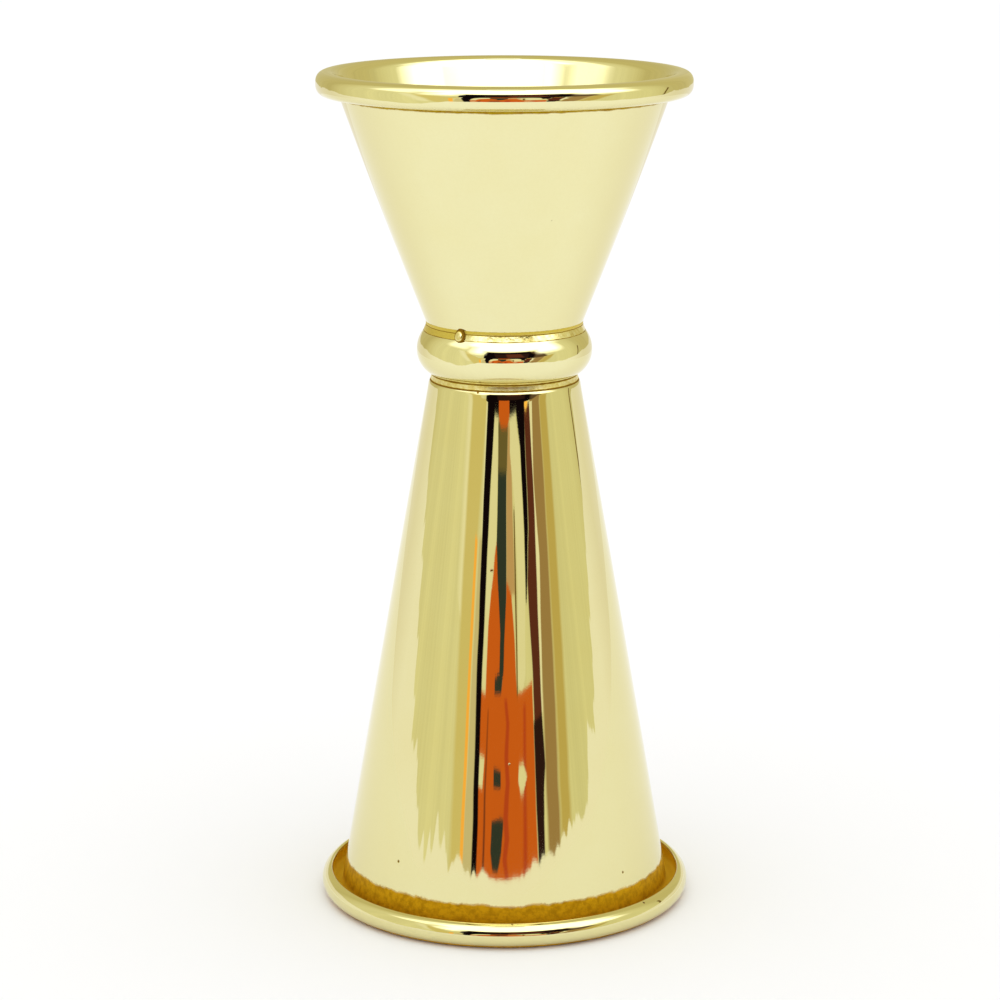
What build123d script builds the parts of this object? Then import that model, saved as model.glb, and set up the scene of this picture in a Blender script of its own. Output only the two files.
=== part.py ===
from build123d import *
import os

# Double-ended bar jigger. Millimetres, +Z up, the large cup's mouth rests on Z = 0.
overall_height = 116.0
sheet = 0.7

# Each rim is the cup's own wall curled outwards into an open roll.
curl_end_angle = 70.0
free_edge_round = 0.25
floor_corner_inside = 0.3

# Small cup, mouth up. The wall angles are measured from the vertical.
small_curl_radius = 1.6
small_curl_centre_r = 23.9
small_curl_centre_z = overall_height - small_curl_radius
small_mouth_wall_angle = 19.4
small_floor_top_z = 81.8
small_floor_corner_r = 10.0
small_floor_underside_z = small_floor_top_z - sheet

# Large cup, mouth down.
large_curl_radius = 1.8
large_curl_centre_r = 24.17
large_mouth_wall_angle = 9.8
large_floor_underside_z = 73.4
large_floor_corner_r = 9.74
large_floor_top_z = large_floor_underside_z + sheet

# Beaded collar between the two closed ends.
bead_outer_r = 12.07
bead_widest_z = 77.95
bead_upper_arc_r = 4.3
bead_upper_arc_angle = 60.0
bead_lower_arc_r = 3.7
bead_lower_arc_angle = 70.6
collar_neck_z = 73.6
collar_trim_width = 7.4

# Braze: a fillet in each notch, and one run of metal that set as a drop. Each fillet's face is an arc
# through its foot, middle and top, given as (radius, height). The ends lie inside the parts it joins.
upper_braze_foot = (11.47, 80.08)
upper_braze_middle = (11.03, 81.18)
upper_braze_top = (10.93, 82.4)
upper_braze_inner_r = 10.1
upper_braze_inner_z = 82.0
lower_braze_foot = (10.4, 73.45)
lower_braze_middle = (10.14, 74.15)
lower_braze_top = (10.02, 74.9)
lower_braze_inner_r = 9.6
lower_braze_inner_z = 73.6
drop_angle = 237.0
drop_centre_r = 11.0
drop_centre_z = 81.2
drop_radius = 0.7
drop_cone_radius = 0.66
drop_tip_height = 1.25
drop_tip_radius = 0.2

os.makedirs("parts", exist_ok=True)

with BuildPart() as upper_cup:
    with BuildSketch(Plane.XZ) as upper_section:
        with BuildLine():
            curl = CenterArc(
                (small_curl_centre_r, small_curl_centre_z),
                small_curl_radius,
                -curl_end_angle,
                curl_end_angle + 180 - small_mouth_wall_angle,
            )
            wall = TangentArc(curl @ 1, (small_floor_corner_r, small_floor_top_z), tangent=curl % 1)
            Line(wall @ 1, (0, small_floor_top_z))
            offset(amount=sheet, side=Side.LEFT, kind=Kind.INTERSECTION)
        make_face()
        corners = upper_section.vertices().sort_by_distance((small_floor_corner_r, small_floor_top_z))
        fillet(corners[0], floor_corner_inside)
        corners = upper_section.vertices().sort_by_distance((small_floor_corner_r + sheet, small_floor_underside_z))
        fillet(corners[0], floor_corner_inside + sheet)
        corners = upper_section.vertices().sort_by_distance(curl @ 0)
        fillet(corners[0:2], free_edge_round)
    revolve(axis=Axis.Z)

with BuildPart() as lower_cup:
    with BuildSketch(Plane.XZ) as lower_section:
        with BuildLine():
            curl = CenterArc(
                (large_curl_centre_r, large_curl_radius),
                large_curl_radius,
                curl_end_angle,
                -(curl_end_angle + 180 - large_mouth_wall_angle),
            )
            wall = TangentArc(curl @ 1, (large_floor_corner_r, large_floor_underside_z), tangent=curl % 1)
            Line(wall @ 1, (0, large_floor_underside_z))
            offset(amount=sheet, side=Side.RIGHT, kind=Kind.INTERSECTION)
        make_face()
        corners = lower_section.vertices().sort_by_distance((large_floor_corner_r, large_floor_underside_z))
        fillet(corners[0], floor_corner_inside)
        corners = lower_section.vertices().sort_by_distance((large_floor_corner_r + sheet, large_floor_top_z))
        fillet(corners[0], floor_corner_inside + sheet)
        corners = lower_section.vertices().sort_by_distance(curl @ 0)
        fillet(corners[0:2], free_edge_round)
    revolve(axis=Axis.Z)

with BuildPart() as waist_collar:
    with BuildSketch(Plane.XZ) as collar_section:
        with BuildLine():
            CenterArc(
                (bead_outer_r - bead_upper_arc_r, bead_widest_z),
                bead_upper_arc_r,
                bead_upper_arc_angle,
                -bead_upper_arc_angle,
            )
            belly = CenterArc(
                (bead_outer_r - bead_lower_arc_r, bead_widest_z),
                bead_lower_arc_r,
                0,
                -bead_lower_arc_angle,
            )
            Line(belly @ 1, ((belly @ 1).X, collar_neck_z))
            offset(amount=sheet, side=Side.RIGHT, kind=Kind.INTERSECTION)
        make_face()
        with Locations((bead_outer_r, (small_floor_underside_z + large_floor_top_z) / 2)):
            Rectangle(collar_trim_width, small_floor_underside_z - large_floor_top_z, mode=Mode.INTERSECT)
    revolve(axis=Axis.Z)

with BuildPart() as upper_braze_fillet:
    with BuildSketch(Plane.XZ):
        with BuildLine():
            ThreePointArc(upper_braze_foot, upper_braze_middle, upper_braze_top)
            Polyline(
                upper_braze_top,
                (upper_braze_inner_r, upper_braze_inner_z),
                (upper_braze_inner_r, small_floor_underside_z),
                upper_braze_foot,
            )
        make_face()
    revolve(axis=Axis.Z)
    with Locations((0, 0, drop_centre_z)):
        with PolarLocations(drop_centre_r, 1, start_angle=drop_angle):
            Sphere(drop_radius)
            Cone(
                drop_cone_radius,
                drop_tip_radius,
                drop_tip_height,
                align=(Align.CENTER, Align.CENTER, Align.MIN),
            )
    add(upper_cup.part, mode=Mode.SUBTRACT)
    add(waist_collar.part, mode=Mode.SUBTRACT)

with BuildPart() as lower_braze_fillet:
    with BuildSketch(Plane.XZ):
        with BuildLine():
            ThreePointArc(lower_braze_foot, lower_braze_middle, lower_braze_top)
            Polyline(
                lower_braze_top,
                (lower_braze_inner_r, lower_braze_top[1]),
                (lower_braze_inner_r, lower_braze_inner_z),
                lower_braze_foot,
            )
        make_face()
    revolve(axis=Axis.Z)
    add(lower_cup.part, mode=Mode.SUBTRACT)
    add(waist_collar.part, mode=Mode.SUBTRACT)

upper_cup.part.label = "upper_cup"
lower_cup.part.label = "lower_cup"
waist_collar.part.label = "waist_collar"
upper_braze_fillet.part.label = "upper_braze_fillet"
lower_braze_fillet.part.label = "lower_braze_fillet"

export_step(upper_cup.part, "parts/upper_cup.step")
export_step(lower_cup.part, "parts/lower_cup.step")
export_step(waist_collar.part, "parts/waist_collar.step")
export_step(upper_braze_fillet.part, "parts/upper_braze_fillet.step")
export_step(lower_braze_fillet.part, "parts/lower_braze_fillet.step")
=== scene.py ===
"""Looks for the bar jigger: spun gold-coloured cups, a beaded collar and two grainy braze bands."""
import math

import bmesh
import bpy
import numpy as np
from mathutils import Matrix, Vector, noise


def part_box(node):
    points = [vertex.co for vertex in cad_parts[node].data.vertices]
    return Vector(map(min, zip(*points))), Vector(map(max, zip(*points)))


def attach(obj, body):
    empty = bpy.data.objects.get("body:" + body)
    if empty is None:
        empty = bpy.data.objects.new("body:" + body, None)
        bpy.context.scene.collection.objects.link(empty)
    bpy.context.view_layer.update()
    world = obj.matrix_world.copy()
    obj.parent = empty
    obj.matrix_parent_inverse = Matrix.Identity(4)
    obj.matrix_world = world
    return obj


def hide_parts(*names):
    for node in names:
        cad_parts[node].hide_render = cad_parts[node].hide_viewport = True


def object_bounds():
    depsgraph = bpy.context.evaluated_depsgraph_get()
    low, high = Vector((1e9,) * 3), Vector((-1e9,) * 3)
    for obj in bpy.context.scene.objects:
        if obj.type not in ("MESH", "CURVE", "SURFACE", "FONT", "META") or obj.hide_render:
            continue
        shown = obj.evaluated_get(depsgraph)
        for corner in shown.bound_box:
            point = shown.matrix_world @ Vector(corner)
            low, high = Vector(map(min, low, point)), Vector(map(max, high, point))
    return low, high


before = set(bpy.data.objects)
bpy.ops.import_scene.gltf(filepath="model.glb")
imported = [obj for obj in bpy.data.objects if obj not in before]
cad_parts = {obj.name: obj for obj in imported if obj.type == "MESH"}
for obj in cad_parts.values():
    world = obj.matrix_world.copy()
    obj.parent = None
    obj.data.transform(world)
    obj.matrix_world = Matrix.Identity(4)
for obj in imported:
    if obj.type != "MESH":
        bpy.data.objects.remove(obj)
cad_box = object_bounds()

MM = 0.001
TAU = math.tau

# ---------------------------------------------------------------- dimensions
HEIGHT = cad_box[1].z
SHEET = 0.7 * MM                 # thickness of the spun metal
FLOOR_ROUND = 0.3 * MM           # inside radius where a wall turns into its flat end
CURL_END = math.radians(70)      # how far past level each rolled rim goes on before its free edge

# Each cup: radius of its rolled rim, radius of its flat floor, and how far the wall leans at each end.
UPPER_CURL = 1.6 * MM
UPPER_FLOOR = 10.0 * MM
UPPER_MOUTH_LEAN = math.radians(19.4)
UPPER_FLOOR_LEAN = math.radians(21.6)
UPPER_ROLL_SQUARENESS = 2.5      # 2 is a round roll, more flattens its front
LOWER_CURL = 1.8 * MM
LOWER_FLOOR = 9.74 * MM
LOWER_MOUTH_LEAN = math.radians(9.8)
LOWER_FLOOR_LEAN = math.radians(10.15)

# The collar's bead: the height of its widest circle, and the radii of its section over and under that.
BEAD_BELT = 77.95 * MM
BEAD_UPPER = 4.3 * MM
BEAD_LOWER = 3.7 * MM
BEAD_TURN = math.radians(70.6)                # how far under the belt the outer face turns in to the neck
BEAD_INSIDE_TURN = math.radians(79.8)         # and the inner face

# The set drop of braze: its bearing about the axis, its height, and the direction outwards at it.
DROP_ANGLE = math.radians(237)
DROP_HEIGHT = 81.35 * MM
DROP_OUT = Vector((math.cos(DROP_ANGLE), math.sin(DROP_ANGLE), 0))

# How finely each shape is divided: round the axis, and along a cup's outline.
CUP_SEGMENTS = 480
BRAZE_SEGMENTS = 1200
DROP_SEGMENTS = 48
FLOOR_STEPS = 12
CORNER_STEPS = 14
WALL_STEPS = 90
CURL_STEPS = 72


# ---------------------------------------------------------------- outlines in (radius, height)
def arc(centre, radius, start, end, steps):
    """Points on an arc, angles in radians from the outward direction."""
    turns = np.linspace(start, end, steps)
    return np.stack([centre[0] + radius * np.cos(turns), centre[1] + radius * np.sin(turns)], 1)


def curve(p, q, leave, arrive, steps):
    """A smooth Hermite curve from p to q that leaves and arrives along the given directions."""
    p, q, leave, arrive = (np.array(v, float) for v in (p, q, leave, arrive))
    reach = np.linalg.norm(q - p)
    t = np.linspace(0, 1, steps)[:, None]
    return (
        (2 * t**3 - 3 * t**2 + 1) * p
        + (t**3 - 2 * t**2 + t) * reach * leave
        + (3 * t**2 - 2 * t**3) * q
        + (t**3 - t**2) * reach * arrive
    )


def joined(*runs):
    """One outline from several runs, each starting where the last one ended."""
    kept = [runs[0]]
    for run in runs[1:]:
        kept.append(run[1:])
    return np.concatenate(kept)


def side_normals(path):
    """Unit vectors to the right of the path's direction."""
    step = np.gradient(path, axis=0)
    step /= np.linalg.norm(step, axis=1)[:, None]
    return np.stack([step[:, 1], -step[:, 0]], 1)


def cup_outline(floor_z, floor_r, rim_r, rim_z, curl_r, up, mouth_lean, floor_lean, square=2.0):
    """Outline of one cup's sheet, from the axis out along the liquid side, round the rolled rim to the
    free edge, and back to the axis. up is 1 for a mouth that faces up and -1 for one that faces down.
    square over 2 flattens the front of the roll."""
    corner = (
        floor_r + FLOOR_ROUND * (math.tan(floor_lean) - 1 / math.cos(floor_lean)),
        FLOOR_ROUND,
    )
    depth = abs(rim_z - floor_z)
    roll = (rim_r - curl_r, depth - curl_r)
    turn = arc(corner, FLOOR_ROUND, -math.pi / 2, -floor_lean, CORNER_STEPS)
    curl = arc(roll, curl_r, math.pi - mouth_lean, -CURL_END, CURL_STEPS)
    wall = curve(
        turn[-1],
        curl[0],
        (math.sin(floor_lean), math.cos(floor_lean)),
        (math.sin(mouth_lean), math.cos(mouth_lean)),
        WALL_STEPS,
    )
    flat = np.stack([np.linspace(0, corner[0], FLOOR_STEPS), np.zeros(FLOOR_STEPS)], 1)
    inside = joined(flat, turn, wall, curl)
    back = inside + SHEET * side_normals(inside)
    around = (curl - roll) / curl_r
    stretch = (np.abs(around) ** square).sum(1) ** (-1 / square)
    front = np.clip(around[:, 0] * 3, 0, 1)[:, None]
    inside[-len(curl):] = roll + curl_r * around * (1 + (stretch[:, None] - 1) * front)
    back[0, 0] = 0.0
    tip = (inside[-1] + back[-1]) / 2
    ends = curl_tip(inside[-1], back[-1], tip)
    outline = np.concatenate([inside, ends, back[::-1]])
    outline[:, 1] = floor_z + up * outline[:, 1]
    return outline


def curl_tip(a, b, middle):
    """A rounded free edge between the two faces of the sheet, a little flatter than a half circle."""
    bulge = 0.55
    half = (b - a) / 2
    out = np.array([half[1], -half[0]])
    steps = np.linspace(0, math.pi, 9)[1:-1]
    return np.array([middle - half * math.cos(s) - out * bulge * math.sin(s) for s in steps])


# ---------------------------------------------------------------- lathe
def lathe(name, outline, segments, closed, shape=None):
    """Turns an outline about the axis. Points on the axis become one vertex. shape may move the points."""
    on_axis = outline[:, 0] < 1e-9
    angles = np.arange(segments) * TAU / segments
    points, faces, index = [], [], []
    for (r, z), single in zip(outline, on_axis):
        index.append(len(points))
        if single:
            points.append((0.0, 0.0, z))
        else:
            points.extend((r * math.cos(a), r * math.sin(a), z) for a in angles)
    count = len(outline)
    for i in range(count if closed else count - 1):
        j = (i + 1) % count
        a, b = index[i], index[j]
        if on_axis[i] and on_axis[j]:
            continue
        for k in range(segments):
            n = (k + 1) % segments
            if on_axis[i]:
                faces.append((a, b + k, b + n))
            elif on_axis[j]:
                faces.append((a + k, b, a + n))
            else:
                faces.append((a + k, b + k, b + n, a + n))
    points = np.array(points)
    if shape:
        points = shape(points)
    mesh = bpy.data.meshes.new(name)
    mesh.from_pydata(points.tolist(), [], faces)
    mesh.validate()
    mesh.polygons.foreach_set("use_smooth", [True] * len(mesh.polygons))
    piece = bpy.data.objects.new(name, mesh)
    bpy.context.scene.collection.objects.link(piece)
    fix_normals(piece)
    return piece


def fix_normals(piece):
    """Turns every face to look out of the metal."""
    work = bmesh.new()
    work.from_mesh(piece.data)
    bmesh.ops.recalc_face_normals(work, faces=work.faces)
    work.to_mesh(piece.data)
    work.free()


# ---------------------------------------------------------------- hand-spun unevenness
def spun(lowest, highest, depth):
    """Slow dents and ripples of a spun wall, fading to none at the two heights given."""
    dent_size = 9 * MM
    ripple_size = 3.2 * MM
    ripple_share = 0.35
    floor_middle = 5 * MM

    def shape(points):
        moved = points.copy()
        for n, (x, y, z) in enumerate(points):
            share = (z - lowest) / (highest - lowest)
            if share <= 0 or share >= 1:
                continue
            fade = min(1.0, 6 * share * (1 - share))
            r = math.hypot(x, y)
            if r < floor_middle:
                continue
            swell = noise.noise(Vector((x, y, z)) / dent_size + Vector((3.1, 7.7, 1.3)))
            ripple = ripple_share * noise.noise(Vector((x, y, 0.6 * z)) / ripple_size + Vector((9, 2, 5)))
            push = depth * fade * (swell + ripple)
            moved[n, 0] += push * x / r
            moved[n, 1] += push * y / r
        return moved
    return shape


def grainy(depth, grain):
    """The rough cast skin of brazing metal."""
    inward = 0.3

    def shape(points):
        moved = points.copy()
        for n, (x, y, z) in enumerate(points):
            r = math.hypot(x, y)
            at = Vector((x, y, z)) / grain
            push = depth * (noise.noise(at) + 0.5 * noise.noise(at * 2.3 + Vector((4, 4, 4))) - inward)
            moved[n, 0] += push * x / r
            moved[n, 1] += push * y / r
        return moved
    return shape


# ---------------------------------------------------------------- materials
def material(name):
    """A new material, its nodes and links, and its shader."""
    made = bpy.data.materials.new(name)
    made.use_nodes = True
    nodes = made.node_tree.nodes
    return made, nodes, made.node_tree.links, nodes["Principled BSDF"]


def ramp(nodes, stops):
    """A colour ramp through (position, colour) stops."""
    made = nodes.new("ShaderNodeValToRGB")
    made.color_ramp.elements[0].position, made.color_ramp.elements[0].color = stops[0]
    made.color_ramp.elements[1].position, made.color_ramp.elements[1].color = stops[-1]
    for position, colour in stops[1:-1]:
        made.color_ramp.elements.new(position).color = colour
    return made


def math_node(nodes, links, kind, first, second=None, third=None):
    """One sum on up to three values, each a socket or a number."""
    made = nodes.new("ShaderNodeMath")
    made.operation = kind
    for socket, value in zip(made.inputs, (first, second, third)):
        if value is None:
            continue
        if isinstance(value, (int, float)):
            socket.default_value = value
        else:
            links.new(value, socket)
    return made.outputs[0]


def noise_node(nodes, links, vector, scale, detail=3.0, rough=0.5):
    """Noise from 0 to 1, with scale in cells per metre."""
    made = nodes.new("ShaderNodeTexNoise")
    made.inputs["Scale"].default_value = scale
    made.inputs["Detail"].default_value = detail
    made.inputs["Roughness"].default_value = rough
    links.new(vector, made.inputs["Vector"])
    return made.outputs["Fac"]


# The metal's colours, some of them painted light and shade: a shaded copy of the gold for the lower cup, a
# darker gold for the silhouettes, a lighter ochre for the lower roll's inner face and the shades for the
# braze creases.
GOLD = (0.875, 0.835, 0.50, 1)
GOLD_WARM = (0.85, 0.79, 0.42, 1)
# painted shade: the lower cup's gold is a darker copy of the same gold, for its dimmer reflections
GOLD_SHADED = (0.80, 0.755, 0.42, 1)
GOLD_SHADED_WARM = (0.78, 0.71, 0.35, 1)
# painted shade: the darker gold at the silhouettes
EDGE_SHADE_GOLD = (0.74, 0.67, 0.34, 1)
GRAIN_GOLD = (0.72, 0.64, 0.27, 1)
OCHRE = (0.55, 0.295, 0.006, 1)
OCHRE_DARK = (0.34, 0.165, 0.003, 1)
# painted light: a lighter copy of the ochre for the lower roll's inner face
OCHRE_LIT = (0.84, 0.60, 0.035, 1)
OLIVE_STAIN = (0.46, 0.30, 0.006, 1)
PIT_BROWN = (0.20, 0.11, 0.012, 1)
# painted shade for the braze bands' creases, ochre and brown
CREASE_SHADE_OCHRE = (0.62, 0.48, 0.07, 1)
CREASE_SHADE_BROWN = (0.22, 0.11, 0.008, 1)

# How fine the metals' patterns are, in cells per metre.
PATCH_CELLS = 140
GRAIN_CELLS = 2600
PIT_CELLS = 210
PIT_GATE_CELLS = 75
EDGE_CELLS = 420
BLOTCH_CELLS = 1100
BRAZE_CLOUD_CELLS = 1500
BRAZE_GRAIN_CELLS = 3200

BRAZE_STOPS = [(0.3, (0.70, 0.57, 0.20, 1)), (0.5, (0.82, 0.73, 0.34, 1)), (0.7, (0.90, 0.86, 0.52, 1))]


def mixed(nodes, links, share, first, second):
    """Blends two colours. Each is a socket or a fixed colour."""
    made = nodes.new("ShaderNodeMix")
    made.data_type = "RGBA"
    links.new(share, made.inputs["Factor"])
    for socket, value in (("A", first), ("B", second)):
        if isinstance(value, tuple):
            made.inputs[socket].default_value = value
        else:
            links.new(value, made.inputs[socket])
    return made.outputs["Result"]


def stepped(nodes, links, value, low, high, start, end):
    """A smooth step of value from low to high, giving start to end."""
    made = nodes.new("ShaderNodeMapRange")
    made.interpolation_type = "SMOOTHSTEP"
    for socket, number in (("From Min", low), ("From Max", high), ("To Min", start), ("To Max", end)):
        made.inputs[socket].default_value = number
    links.new(value, made.inputs["Value"])
    return made.outputs[0]


def marked(nodes, name):
    """Reads one of the piece's own point marks."""
    made = nodes.new("ShaderNodeAttribute")
    made.attribute_name = name
    return made.outputs["Fac"]


def gold_metal(name, bright, warm, edge_shade_share, tarnish_and_painted_light=None, band=None):
    """Polished gold-coloured plate, warm in patches and darker where it is seen at a slant, a painted shade
    for the silhouettes. band = (height, blur, irregularity, sign) leaves the marked metal dull and tarnished
    where the polishing mop
    could not reach: under that height for sign 1, over it for -1. There the recess mark also carries a
    painted contact shadow on the lower roll's underside, and at 2 a painted lighter ochre on the roll's
    inner face."""
    metres_per_bump = 0.0000012
    pit_depth = 30.0
    dull_rough = 0.38
    dull_grain = 8.0
    made, nodes, links, shader = material(name)
    place = nodes.new("ShaderNodeTexCoord").outputs["Object"]
    cloud = noise_node(nodes, links, place, PATCH_CELLS, 4, 0.55)
    colour = mixed(nodes, links, math_node(nodes, links, "MULTIPLY", cloud, 0.9), bright, warm)

    # painted shade: the gold darkens where the surface is seen at a slant, for the darker things its
    # silhouettes mirror
    facing = nodes.new("ShaderNodeLayerWeight")
    facing.inputs["Blend"].default_value = 0.5
    edge_shade = stepped(nodes, links, facing.outputs["Facing"], 0.20, 0.70, 0.0, edge_shade_share)
    colour = mixed(nodes, links, edge_shade, colour, EDGE_SHADE_GOLD)

    # polishing lines run round the cup: noise drawn out sideways
    sideways = nodes.new("ShaderNodeMapping")
    sideways.inputs["Scale"].default_value = (0.08, 0.08, 1.0)
    links.new(place, sideways.inputs["Vector"])
    lines = noise_node(nodes, links, sideways.outputs[0], GRAIN_CELLS, 2, 0.6)
    grain = noise_node(nodes, links, place, GRAIN_CELLS, 3, 0.6)
    fine = math_node(nodes, links, "MULTIPLY", grain, 0.20)
    colour = mixed(nodes, links, fine, colour, GRAIN_GOLD)

    # a few round pits, only where a slow noise is high
    pits = nodes.new("ShaderNodeTexVoronoi")
    pits.inputs["Scale"].default_value = PIT_CELLS
    pits.inputs["Randomness"].default_value = 1.0
    links.new(place, pits.inputs["Vector"])
    rare = math_node(nodes, links, "GREATER_THAN", noise_node(nodes, links, place, PIT_GATE_CELLS, 1), 0.57)
    hole = stepped(nodes, links, pits.outputs["Distance"], 0.02, 0.055, 1, 0)
    pit = math_node(nodes, links, "MULTIPLY", hole, rare)
    colour = mixed(nodes, links, pit, colour, PIT_BROWN)

    height = math_node(nodes, links, "MULTIPLY", lines, 0.10)
    height = math_node(nodes, links, "ADD", height, math_node(nodes, links, "MULTIPLY", grain, 0.20))
    height = math_node(nodes, links, "SUBTRACT", height, math_node(nodes, links, "MULTIPLY", pit, pit_depth))
    rough = math_node(nodes, links, "MULTIPLY_ADD", cloud, 0.02, 0.012)
    if band:
        edge, blur, uneven, sign = band
        split = nodes.new("ShaderNodeSeparateXYZ")
        links.new(place, split.inputs[0])
        wander = noise_node(nodes, links, place, EDGE_CELLS, 5, 0.65)
        level = math_node(nodes, links, "MULTIPLY_ADD", wander, uneven, split.outputs["Z"])
        low, high = edge - blur + uneven / 2, edge + blur + uneven / 2
        share = stepped(nodes, links, level, low, high, 1.0 if sign > 0 else 0.0, 0.0 if sign > 0 else 1.0)
        recess = marked(nodes, "recess")
        mask = math_node(nodes, links, "MULTIPLY", share, math_node(nodes, links, "MINIMUM", recess, 1.0))
        blotch = noise_node(nodes, links, place, BLOTCH_CELLS, 4, 0.65)
        blotch = stepped(nodes, links, blotch, 0.38, 0.66, 0.0, 0.8)
        tarnish_and_painted_light = mixed(nodes, links, blotch, tarnish_and_painted_light, OCHRE_DARK)
        # painted light: where the recess mark is 2, on the roll's inner face, the ochre is painted lighter
        tarnish_and_painted_light = mixed(nodes, links, math_node(nodes, links, "SUBTRACT", recess, 1.0), tarnish_and_painted_light, OCHRE_LIT)
        colour = mixed(nodes, links, mask, colour, tarnish_and_painted_light)
        dull = math_node(nodes, links, "MULTIPLY", mask, dull_rough)
        rough = math_node(nodes, links, "ADD", rough, dull)
        # grain less its mean, so the metal has no step where the dull part begins
        even = math_node(nodes, links, "SUBTRACT", grain, 0.5)
        coarse = math_node(nodes, links, "MULTIPLY", even, mask)
        coarse = math_node(nodes, links, "MULTIPLY", coarse, dull_grain)
        height = math_node(nodes, links, "ADD", height, coarse)
    bump = nodes.new("ShaderNodeBump")
    bump.inputs["Distance"].default_value = metres_per_bump
    links.new(height, bump.inputs["Height"])
    links.new(bump.outputs[0], shader.inputs["Normal"])
    links.new(colour, shader.inputs["Base Color"])
    links.new(rough, shader.inputs["Roughness"])
    shader.inputs["Metallic"].default_value = 1.0
    if band:
        shader.inputs["Specular IOR Level"].default_value = 0.0
        links.new(math_node(nodes, links, "MULTIPLY_ADD", mask, -0.75, 1.0), shader.inputs["Metallic"])
    return made


def braze_metal(name, rough, grain_height):
    """Bright brazing metal, finely grained. The crease mark paints shade on it: ochre at 0.5 and brown at 1.
    """
    made, nodes, links, shader = material(name)
    place = nodes.new("ShaderNodeTexCoord").outputs["Object"]
    cloud = noise_node(nodes, links, place, BRAZE_CLOUD_CELLS, 3, 0.6)
    shade = ramp(nodes, BRAZE_STOPS)
    links.new(cloud, shade.inputs[0])
    crease = marked(nodes, "crease")
    some = stepped(nodes, links, crease, 0.0, 0.5, 0.0, 1.0)
    much = stepped(nodes, links, crease, 0.5, 1.0, 0.0, 1.0)
    colour = mixed(nodes, links, some, shade.outputs[0], CREASE_SHADE_OCHRE)
    colour = mixed(nodes, links, much, colour, CREASE_SHADE_BROWN)
    links.new(colour, shader.inputs["Base Color"])
    grain = noise_node(nodes, links, place, BRAZE_GRAIN_CELLS, 3, 0.6)
    bump = nodes.new("ShaderNodeBump")
    bump.inputs["Distance"].default_value = grain_height
    links.new(grain, bump.inputs["Height"])
    links.new(bump.outputs[0], shader.inputs["Normal"])
    gloss = math_node(nodes, links, "MULTIPLY_ADD", cloud, 0.10, rough)
    links.new(math_node(nodes, links, "MULTIPLY_ADD", crease, 0.5, gloss), shader.inputs["Roughness"])
    links.new(math_node(nodes, links, "MULTIPLY_ADD", crease, -0.8, 1.0), shader.inputs["Metallic"])
    shader.inputs["Specular IOR Level"].default_value = 0.0
    return made


# ---------------------------------------------------------------- the pieces
def mark_points(piece, name, values):
    """Stores one number for each point, for a material to read."""
    piece.data.attributes.new(name, "FLOAT", "POINT").data.foreach_set("value", values)


def finish_piece(piece, node, metal):
    """Gives a piece its material and its place in the frame. The braze drop replaces no node of its own."""
    piece.data.materials.append(metal)
    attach(piece, "root")
    if node:
        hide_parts(node)


def make_upper_cup():
    """The small cup. Its recess mark is 1 on the outside of the wall and roll, just under the rim."""
    low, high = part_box("upper_cup")
    outline = cup_outline(
        low.z + SHEET, UPPER_FLOOR, high.x, high.z, UPPER_CURL, 1, UPPER_MOUTH_LEAN, UPPER_FLOOR_LEAN,
        UPPER_ROLL_SQUARENESS,
    )
    dents = spun(low.z + 1.5 * MM, high.z - 5 * MM, 0.012 * MM)
    piece = lathe("upper_cup_spun", outline, CUP_SEGMENTS, False, dents)
    roll = Vector((high.x - UPPER_CURL, high.z - UPPER_CURL))
    roll_inside = 1.25 * MM
    outer_face = high.x - 2 * UPPER_CURL + 0.75 * MM
    fall = math.tan(math.radians(20))

    def recess(p):
        r = math.hypot(p.x, p.y)
        behind = (Vector((r, p.z)) - roll).length < roll_inside
        near_rim = high.z - 5 * MM < p.z < roll.y
        return float(behind or (near_rim and outer_face - (high.z - p.z) * fall < r < roll.x))
    mark_points(piece, "recess", [recess(v.co) for v in piece.data.vertices])
    stain_and_shade = (high.z - 3.66 * MM, 0.10 * MM, 0.4 * MM, -1)
    metal = gold_metal("gold_upper", GOLD, GOLD_WARM, 0.85, OLIVE_STAIN, stain_and_shade)
    finish_piece(piece, "upper_cup", metal)


def make_lower_cup():
    """The large cup. Its recess mark is 1 on the wall in the gutter, and on the rim's underside by the floor
    for a painted contact shadow, and 2 on the gutter's other side, the inner face of the roll, which is
    painted a lighter ochre."""
    low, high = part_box("lower_cup")
    outline = cup_outline(
        high.z - SHEET, LOWER_FLOOR, high.x, low.z, LOWER_CURL, -1, LOWER_MOUTH_LEAN, LOWER_FLOOR_LEAN
    )
    dents = spun(low.z + 6 * MM, high.z - 2 * MM, 0.012 * MM)
    piece = lathe("lower_cup_spun", outline, CUP_SEGMENTS, False, dents)
    roll = Vector((high.x - LOWER_CURL, LOWER_CURL))
    roll_inside = 1.45 * MM
    outer_face = high.x - 2 * LOWER_CURL + 0.60 * MM
    fall = math.tan(math.radians(10))
    contact_shade_height = 0.55 * MM

    def recess(p):
        r = math.hypot(p.x, p.y)
        wall = outer_face - (p.z - low.z) * fall < r < roll.x and p.z > roll.y
        behind = (Vector((r, p.z)) - roll).length < roll_inside
        # painted light: the roll's inner face in the gutter is marked 2, for a lighter ochre
        if behind and r > roll.x - roll_inside and not wall:
            return 2.0
        # painted shade: the rim's underside by the floor is marked 1 too, so the ochre paints a contact
        # shadow there
        return float(wall or (p.z < contact_shade_height and r > roll.x))
    mark_points(piece, "recess", [recess(v.co) for v in piece.data.vertices])
    gutter = (5.2 * MM, 0.25 * MM, 1.2 * MM, 1)
    # painted shade: the lower cup gets the darker, shaded copy of the gold
    metal = gold_metal("gold_lower", GOLD_SHADED, GOLD_SHADED_WARM, 0.45, OCHRE, gutter)
    finish_piece(piece, "lower_cup", metal)


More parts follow.
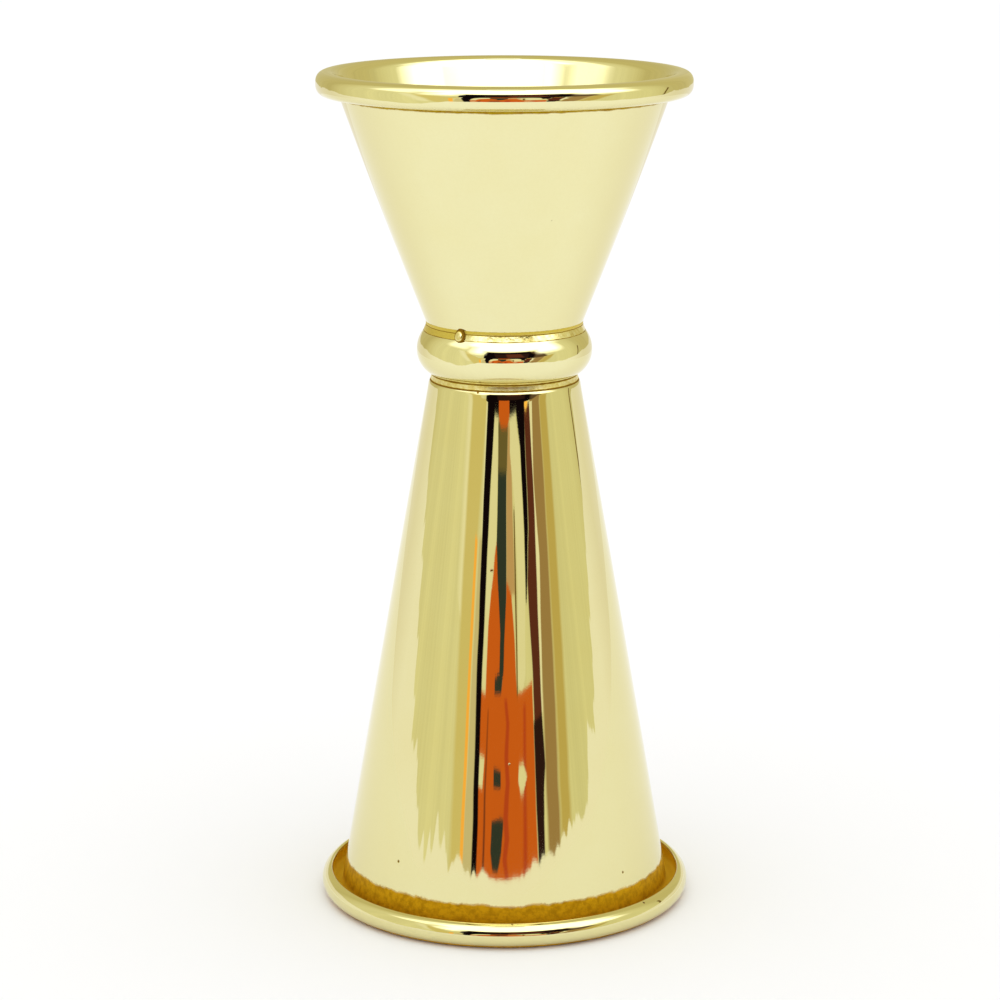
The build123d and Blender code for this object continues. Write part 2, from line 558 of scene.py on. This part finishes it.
def bead(widest, inset, low, lower_turn, upper_steps, lower_steps):
    """Outline of one face of the collar, from its top end down: two arcs and the neck. inset is 0 for the
    outer face and the sheet's thickness for the inner one."""
    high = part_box("waist_collar")[1].z
    upper, lower = BEAD_UPPER - inset, BEAD_LOWER - inset
    top_turn = math.asin((high - BEAD_BELT) / upper)
    top = arc((widest - BEAD_UPPER, BEAD_BELT), upper, top_turn, 0, upper_steps)
    belly = arc((widest - BEAD_LOWER, BEAD_BELT), lower, 0, -lower_turn, lower_steps)
    neck = np.array([belly[-1], (belly[-1][0], low)])
    return joined(top, belly, neck)


def make_collar():
    """The beaded collar, a hollow ring of sheet."""
    low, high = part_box("waist_collar")
    outer = bead(high.x, 0.0, low.z, BEAD_TURN, 60, 80)
    inner = bead(high.x, SHEET, low.z, BEAD_INSIDE_TURN, 30, 30)
    outline = np.concatenate([outer, inner[::-1]])
    piece = lathe("waist_collar_beaded", outline, CUP_SEGMENTS, True, spun(low.z, high.z, 0.008 * MM))
    finish_piece(piece, "waist_collar", gold_metal("gold_collar", GOLD, GOLD_WARM, 0.85))


def three_point(a, b, c, steps):
    """Points on the circle through a, b and c, from a to c."""
    (ax, ay), (bx, by), (cx, cy) = a, b, c
    d = 2 * (ax * (by - cy) + bx * (cy - ay) + cx * (ay - by))
    ux = ((ax**2 + ay**2) * (by - cy) + (bx**2 + by**2) * (cy - ay) + (cx**2 + cy**2) * (ay - by)) / d
    uy = ((ax**2 + ay**2) * (cx - bx) + (bx**2 + by**2) * (ax - cx) + (cx**2 + cy**2) * (bx - ax)) / d
    radius = math.hypot(ax - ux, ay - uy)
    first, last = math.atan2(ay - uy, ax - ux), math.atan2(cy - uy, cx - ux)
    if last - first > math.pi:
        last -= TAU
    if first - last > math.pi:
        last += TAU
    return arc((ux, uy), radius, first, last, steps)


def shade_by_drop(p):
    """Painted shadow round the drop, and a fainter darkening all along the left side."""
    halo_size = 0.95 * MM
    side_start = 5.2 * MM
    side_fade = 1.2 * MM
    foot = DROP_OUT * 11.1 * MM + Vector((0, 0, DROP_HEIGHT + 0.1 * MM))
    halo = min(1.0, 4.2 - 4.0 * (p - foot).length / halo_size)
    side = 0.42 * min(1.0, max(0.0, (-p.x - side_start) / side_fade))
    return max(halo, side)


def make_braze(name, node, metal, runs, back, creases, near_drop=False):
    """One ring of brazing metal. runs are arcs through three (radius, height) points in millimetres, and
    back is the hidden side. creases are painted shade: (low, high, softness) in millimetres, and strength."""
    seen = joined(*[three_point(*[np.array(p) * MM for p in run], 24) for run in runs])
    outline = np.concatenate([seen, np.array(back) * MM])
    piece = lathe(name, outline, BRAZE_SEGMENTS, True, grainy(0.004 * MM, 0.30 * MM))

    # painted shade in the marked creases, and round the drop
    def stain_and_shade(p):
        wander = 0.05 * MM * noise.noise(p / (0.7 * MM))
        amount = 0.0
        for low, high, soft, strength in creases:
            depth = min(p.z + wander - low * MM, high * MM - p.z - wander) / (soft * MM)
            amount = max(amount, strength * max(0.0, min(1.0, depth)))
        return max(amount, shade_by_drop(p)) if near_drop else amount
    mark_points(piece, "crease", [stain_and_shade(v.co) for v in piece.data.vertices])
    finish_piece(piece, node, metal)


def make_drop():
    """The drop of braze that ran and set: a smooth tear, point up, bedded in the upper band."""
    low, tall, wide = -0.95, 2.05, 0.80
    share = np.linspace(0, 1, 33)
    width = wide * np.sin(math.pi * share ** 0.72) ** 0.70
    width[0] = width[-1] = 0.0
    outline = np.stack([width, low + tall * share], 1) * MM
    piece = lathe("braze_drop", outline, DROP_SEGMENTS, False)
    reach = 11.0 * MM
    flatten = 0.45
    lean = 0.20
    edge_depth = 0.60 * MM
    edge_soft = 0.10 * MM
    # painted shade: the drop's foot, where it meets the band, gets the crease mark, a dark ring
    edge = []
    for v in piece.data.vertices:
        depth = v.co.dot(DROP_OUT)
        edge.append(max(0.0, min(1.0, (edge_depth - depth) / edge_soft)))
        v.co += DROP_OUT * (reach - flatten * depth - lean * v.co.z) + Vector((0, 0, DROP_HEIGHT))
    mark_points(piece, "crease", edge)
    finish_piece(piece, None, BRAZE)


BRAZE = braze_metal("braze_bright", 0.05, 0.000004)
BRAZE_GRAINY = braze_metal("braze_grainy", 0.26, 0.000012)
make_upper_cup()
make_lower_cup()
make_collar()
make_braze(
    "upper_braze_band",
    "upper_braze_fillet",
    BRAZE,
    [[(11.16, 80.56), (10.97, 81.02), (10.80, 81.45)], [(10.80, 81.45), (10.82, 81.9), (10.97, 82.4)]],
    [(10.1, 82.0), (10.1, 81.1)],
    [
        # painted shade: dark lines at the band's foot, middle and top, and an ochre upper half, for the
        # shade and dark reflections on the band
        (79.9, 80.76, 0.06, 1.0), (81.42, 81.64, 0.06, 0.9), (81.60, 83.0, 0.10, 0.55),
        (81.98, 83.0, 0.07, 1.0),
    ],
    near_drop=True,
)
make_braze(
    "lower_braze_band",
    "lower_braze_fillet",
    BRAZE_GRAINY,
    [[(10.02, 74.9), (10.14, 74.15), (10.40, 73.45)]],
    [(9.6, 73.6), (9.6, 74.9)],
    # painted shade: dark lines at the band's top and foot, and a faint darker stripe across its middle
    [(74.44, 75.2, 0.12, 1.0), (73.2, 73.98, 0.08, 1.0), (74.0, 74.3, 0.2, 0.2)],
)
make_drop()


# ---------------------------------------------------------------- studio
def stage_mesh(name, points, faces, metal):
    """A mesh that belongs to the studio and not to the jigger."""
    mesh = bpy.data.meshes.new(name)
    mesh.from_pydata(points, [], faces)
    mesh.materials.append(metal)
    made = bpy.data.objects.new(name, mesh)
    bpy.context.scene.collection.objects.link(made)
    return made


# Colours of the things in the room that the polished metal mirrors.
PAPER = (1.04, 1.03, 1.04)
WALL_LEFT = (0.86, 0.83, 0.58)
WALL_RIGHT = (0.82, 0.79, 0.52)
BACK_WALL = (0.66, 0.60, 0.33)
PALE = (0.97, 0.94, 0.78)
TAN = (0.76, 0.655, 0.31)
STONE = (0.70, 0.62, 0.42)
AMBER = (1.15, 0.56, 0.11)
CREAM = (0.90, 0.87, 0.66)
PINK = (0.62, 0.40, 0.22)
OLIVE = (0.62, 0.485, 0.175)
UMBER = (0.40, 0.26, 0.12)
ORANGE = (0.71, 0.140, 0.018)
RUST = (0.55, 0.075, 0.022)
BROWN = (0.125, 0.034, 0.022)
SOOT = (0.030, 0.012, 0.012)
SHADE = (0.13, 0.08, 0.05)
SLATE = (0.036, 0.048, 0.045)
MOSS = (0.17, 0.135, 0.055)
BLACK = (0.006, 0.003, 0.005)
LINE = (0.20, 0.12, 0.03)
FLAME = (1.4, 0.75, 0.15)
WINDOW = (2.3, 2.3, 2.3)

# Upright strips in front of the jigger: colour, edge softness in degrees, then rows of (height in
# millimetres, left edge, right edge), the edges in degrees about the axis from straight in front,
# positive to the right. Each strip covers the ones before it.
STRIPS = [
    (PALE, 5, [(60, -47, -41), (165, -64, -56)]),
    (TAN, 3, [(0, -39, -31), (100, -46, -31), (170, -55, -24)]),
    (STONE, 1, [(0, -30.5, -23), (110, -28, -23)]),
    (PALE, 1, [(112, -26, -23), (160, -26, -23)]),
    (AMBER, 0.8, [(0, -32.5, -30.2), (108, -33, -30.2)]),
    (UMBER, 2, [(0, 32, 41), (160, 37, 54)]),
    (OLIVE, 3, [(0, 42, 50), (160, 54, 68)]),
    (PALE, 0.8, [(52, 30, 33), (82, 32, 36), (98, 33, 38), (126, 33, 36), (150, 36, 41)]),
    (PINK, 1, [(98, 2, 10.5), (135, 2.5, 9), (152, 5, 7)]),
    (ORANGE, 0.8, [(0, -21.5, 24), (65, -20.5, 24.5)]),
    (RUST, 1.2, [
        (0, -1, 2), (6, 0.5, 3), (12, -1.5, 1.5), (19, 0, 3.5), (26, -1, 2.5), (36, 1, 4), (46, 0, 3),
        (56, 1.5, 4), (66, -1, 1.5),
    ]),
    (RUST, 2, [(0, 13, 16), (60, 16, 18)]),
    (BROWN, 1.2, [(0, -16, -14.8), (30, -15.5, -14.5), (60, -14, -13.5)]),
    (ORANGE, 0.8, [(64, -17, -2), (82, -16, -3), (98, -14, -5), (112, -9.5, -8)]),
    (ORANGE, 0.8, [(64, -3, 11), (82, -1, 9), (98, 2, 7), (103, 2, 2.5)]),
    (LINE, 0.6, [(64, 10.6, 11.6), (98, 10.4, 12), (125, 10.4, 11.6)]),
    (CREAM, 0.8, [
        (65, -20.5, -16.4), (82, -20.8, -15.7), (98, -18.8, -13.6), (112, -18, -9), (154, -14, -9),
    ]),
    (CREAM, 0.8, [
        (65, 14, 16), (69, 11.8, 18.5), (98, 13.5, 21.7), (126, 12, 21), (142, 7, 20), (155, 8, 14),
    ]),
    (CREAM, 0.6, [(32, -20.5, -17), (43, -20.5, -16)]),
    (CREAM, 0.6, [(31, 12.5, 15), (36, 10.8, 18), (42, 11.5, 15)]),
    (SLATE, 0.6, [
        (66, -8.7, -3), (71, -8.7, -2), (73, -4.8, -1), (82, -4, 0), (98, -6, 2), (112, -8.6, 2),
        (138, -8, 2.4),
    ]),
    (MOSS, 1, [(136, -8, 3), (153, -8.6, 5)]),
    (SLATE, 0.6, [(34, -8.5, -3), (40.5, -8.5, -3)]),
    (SLATE, 0.6, [(8, -8.5, -5), (14, -10.3, -2.5), (24, -9.5, -1), (26, -4, -1)]),
    (BLACK, 0.8, [
        (0, -23.6, -20), (30, -24, -20), (54, -24.4, -20.2), (98, -25.2, -19), (126, -25, -17.5),
        (160, -24, -13),
    ]),
    (BLACK, 0.8, [(92, 21.5, 22.5), (112, 22, 26.5), (126, 21.3, 27), (141, 20.7, 27.5), (160, 14, 30)]),
    (BROWN, 0.8, [(48, 25, 32), (65, 25.5, 32.5), (98, 24, 34), (112, 27, 35), (150, 28, 36)]),
    (SOOT, 0.8, [(0, 24.5, 29), (20, 24.6, 30), (34, 24.4, 33), (52, 24.5, 32)]),
    (BLACK, 1, [(154, -24, 30), (162, -27, 42), (300, -27, 46), (400, -24, 36)]),
    (SHADE, 4, [(158, 38, 58), (260, 42, 54), (380, 36, 42)]),
    (SOOT, 2, [(170, -10, 30), (330, -14, 34)]),
    (BROWN, 3, [(200, 4, 26), (330, 2, 22)]),
    (ORANGE, 0.8, [(151, -5, 4), (154, -8, 7), (168, -8, 7)]),
    (FLAME, 0.8, [(149.5, 29.5, 32.5), (152, 28.5, 34.5), (154.5, 30, 33)]),
    (LINE, 0.8, [(0, 105, 107), (165, 113, 115)]),
]

# The walls stand on a sheet of pale paper. Their foot is level in front, climbs between two bearings on
# each side and is level again behind, and it is ragged away from the front. Millimetres and degrees.
FOOT_FRONT = 5
FOOT_BACK = 80
CLIMB_START = 50
CLIMB_END = 120
RAGGED = 9
RAGGED_FULL = 60

# How far the walls stand from the axis, in metres, at angles in degrees.
WALL_ANGLES = [-180, -150, -115, -90, -76, -66, -50, -38, -34, 40, 54, 66, 110, 150, 180]
WALL_RADII = [0.55, 0.45, 0.28, 0.25, 0.22, 0.18, 0.20, 0.40, 0.55, 0.55, 0.46, 0.36, 0.36, 0.45, 0.55]

# The room's height, and the height from which slopes up to its windows are measured, in millimetres.
ROOM_TOP = 3000
WAIST_HEIGHT = 77


def between(value, low, high, soft):
    """1 between two edges, 0 outside, with soft sides."""
    return np.clip((value - low) / soft + 0.5, 0, 1) * np.clip((high - value) / soft + 0.5, 0, 1)


def wall_foot(turns):
    """Height of the walls' foot at each bearing, in millimetres."""
    climb = np.clip((np.abs(turns) - CLIMB_START) / (CLIMB_END - CLIMB_START), 0, 1)
    rough = np.array([
        noise.noise(Vector((a * 0.11, 3.0, 0.5))) + 0.6 * noise.noise(Vector((a * 0.45, 6.0, 0.5)))
        for a in turns
    ])
    rough = rough * np.clip(np.abs(turns) / RAGGED_FULL, 0, 1)
    return FOOT_FRONT + (FOOT_BACK - FOOT_FRONT) * climb ** 2 + RAGGED * rough


def blend(colour, shade, cover):
    """Lays a shade over the colours, as far as cover says at each point."""
    cover = cover[..., None]
    return colour * (1 - cover) + np.array(shade) * cover


def bare_walls(turns, turn, back):
    """The walls with nothing on them: left and right shades, a darker one behind, and a slow unevenness."""
    colour = blend(np.array(WALL_LEFT), WALL_RIGHT, np.clip((turn + 10) / 20, 0, 1))
    colour = blend(colour, BACK_WALL, back)
    sway = np.array([
        0.05 * noise.noise(Vector((a * 0.05, 2.0, 0.5)))
        + 0.05 * noise.noise(Vector((a * 0.21, 5.0, 0.5)))
        + 0.05 * noise.noise(Vector((a * 0.8, 7.0, 0.5)))
        for a in turns
    ])[:, None, None]
    return colour * (1 + sway)


def windows(turn, rise, distance):
    """How far each point shines. A window starts at one slope up from the waist and is full at a further
    one."""
    steep = (rise - WAIST_HEIGHT) * MM / distance
    main = between(turn, -39, 66, 16) * np.clip((steep - 0.59) / 0.13, 0, 1)
    beside = between(turn, -46, 84, 16) * (1 - between(turn, -28, 46, 10))
    beside = beside * np.clip((steep - 0.30) / 0.22, 0, 1)
    far = 0.5 * between(turn, -90, -56, 12) * np.clip((steep - 0.55) / 0.16, 0, 1)
    ceiling = between(turn, -66, 92, 24) * np.clip((steep - 0.80) / 0.3, 0, 1)
    return np.maximum.reduce([main, beside, far, ceiling])


def room_colours(turns, turn, rise, distance):
    """Colours of the whole room, each layer over the one before: walls, strips, windows, paper."""
    back = np.clip((np.abs(turn + 2) - 100) / 25, 0, 1)
    colour = bare_walls(turns, turn, back)
    for shade, soft, rows in STRIPS:
        heights, lefts, rights = np.array(rows, float).T
        left, right = np.interp(rise, heights, lefts), np.interp(rise, heights, rights)
        upright = between(rise, heights[0], heights[-1], 1.5)
        colour = blend(colour, shade, between(turn, left, right, soft) * upright)
    colour = blend(colour, WINDOW, windows(turn, rise, distance))

    # under the walls is the paper, dimmer and warmer behind the jigger
    wall = np.clip(rise - wall_foot(turns)[:, None], 0, 1)[..., None]
    paper = np.array(PAPER) * (1 - back[..., None] * np.array((0.10, 0.12, 0.20)))
    return colour * wall + paper * (1 - wall)


def room_paint():
    """A light that shows the colour stored at each point."""
    paint = bpy.data.materials.new("surround")
    paint.use_nodes = True
    nodes, links = paint.node_tree.nodes, paint.node_tree.links
    nodes.clear()
    read = nodes.new("ShaderNodeAttribute")
    read.attribute_name = "glow"
    light = nodes.new("ShaderNodeEmission")
    links.new(read.outputs["Color"], light.inputs["Color"])
    links.new(light.outputs[0], nodes.new("ShaderNodeOutputMaterial").inputs["Surface"])
    return paint


def surround():
    """The room that the polished metal mirrors: an upright wall all round, seen only in reflections. Its
    points are closest together where the strips are."""
    turns = np.concatenate([
        np.arange(-180, -120, 1.0),
        np.arange(-120, -40, 0.4),
        np.arange(-40, 60, 0.2),
        np.arange(60, 120, 0.4),
        np.arange(120, 180.5, 1.0),
    ])
    rises = np.concatenate([
        np.arange(0, 40, 0.5),
        np.arange(40, 180, 1.0),
        np.arange(180, 500, 8),
        np.linspace(500, ROOM_TOP, 60),
    ])
    turn, rise = np.meshgrid(turns, rises, indexing="ij")
    distance = np.interp(turn, WALL_ANGLES, WALL_RADII)
    angle = np.radians(turn)
    points = np.stack([distance * np.sin(angle), -distance * np.cos(angle), rise * MM], -1).reshape(-1, 3)
    high = len(rises)
    first = (np.arange(len(turns) - 1)[:, None] * high + np.arange(high - 1)[None, :]).ravel()
    faces = np.stack([first, first + 1, first + high + 1, first + high], 1).tolist()
    made = stage_mesh("surround", points.tolist(), faces, room_paint())

    colour = room_colours(turns, turn, rise, distance).reshape(-1, 3)
    rgba = np.concatenate([colour, np.ones((len(points), 1))], 1)
    layer = made.data.color_attributes.new("glow", "FLOAT_COLOR", "POINT")
    layer.data.foreach_set("color", rgba.ravel().astype(np.float32))
    made.visible_camera = False
    made.visible_shadow = False
    made.visible_diffuse = False


def floor():
    """A plain pale floor, wide enough to have no visible edge."""
    made = bpy.data.materials.new("floor")
    made.use_nodes = True
    shader = made.node_tree.nodes["Principled BSDF"]
    shader.inputs["Base Color"].default_value = (0.93, 0.93, 0.93, 1)
    shader.inputs["Roughness"].default_value = 0.9
    shader.inputs["Specular IOR Level"].default_value = 0.0
    half = 6.0
    corners = [(-half, -half, 0), (half, -half, 0), (half, half, 0), (-half, half, 0)]
    stage_mesh("floor", corners, [(0, 1, 2, 3)], made)


floor()
surround()

world = bpy.data.worlds.new("studio")
bpy.context.scene.world = world
world.use_nodes = True
sky = world.node_tree.nodes["Background"].inputs
sky["Color"].default_value = (1, 1, 1, 1)
sky["Strength"].default_value = 1.08

lamp = bpy.data.lights.new("overhead", "AREA")
lamp.size = 1.2
lamp.energy = 0.8
lamp_object = bpy.data.objects.new("overhead", lamp)
lamp_object.location = (0, -0.1, 1.3)
lamp_object.visible_glossy = False
bpy.context.scene.collection.objects.link(lamp_object)

# ---------------------------------------------------------------- camera
CAMERA_BACK = 3.60025 * HEIGHT
CAMERA_UP = 1.3154 * HEIGHT
LOOK_DOWN = 0.226                # radians under level
camera = bpy.data.cameras.new("camera")
camera.sensor_width = 36
camera.lens = 110.95
camera.shift_x = -0.0045
camera.clip_start = 0.01
camera_object = bpy.data.objects.new("camera", camera)
camera_object.location = (0, -CAMERA_BACK, CAMERA_UP)
camera_object.rotation_euler = (math.pi / 2 - LOOK_DOWN, 0, 0)
bpy.context.scene.collection.objects.link(camera_object)
bpy.context.scene.camera = camera_object
bpy.context.scene.view_settings.view_transform = "Standard"
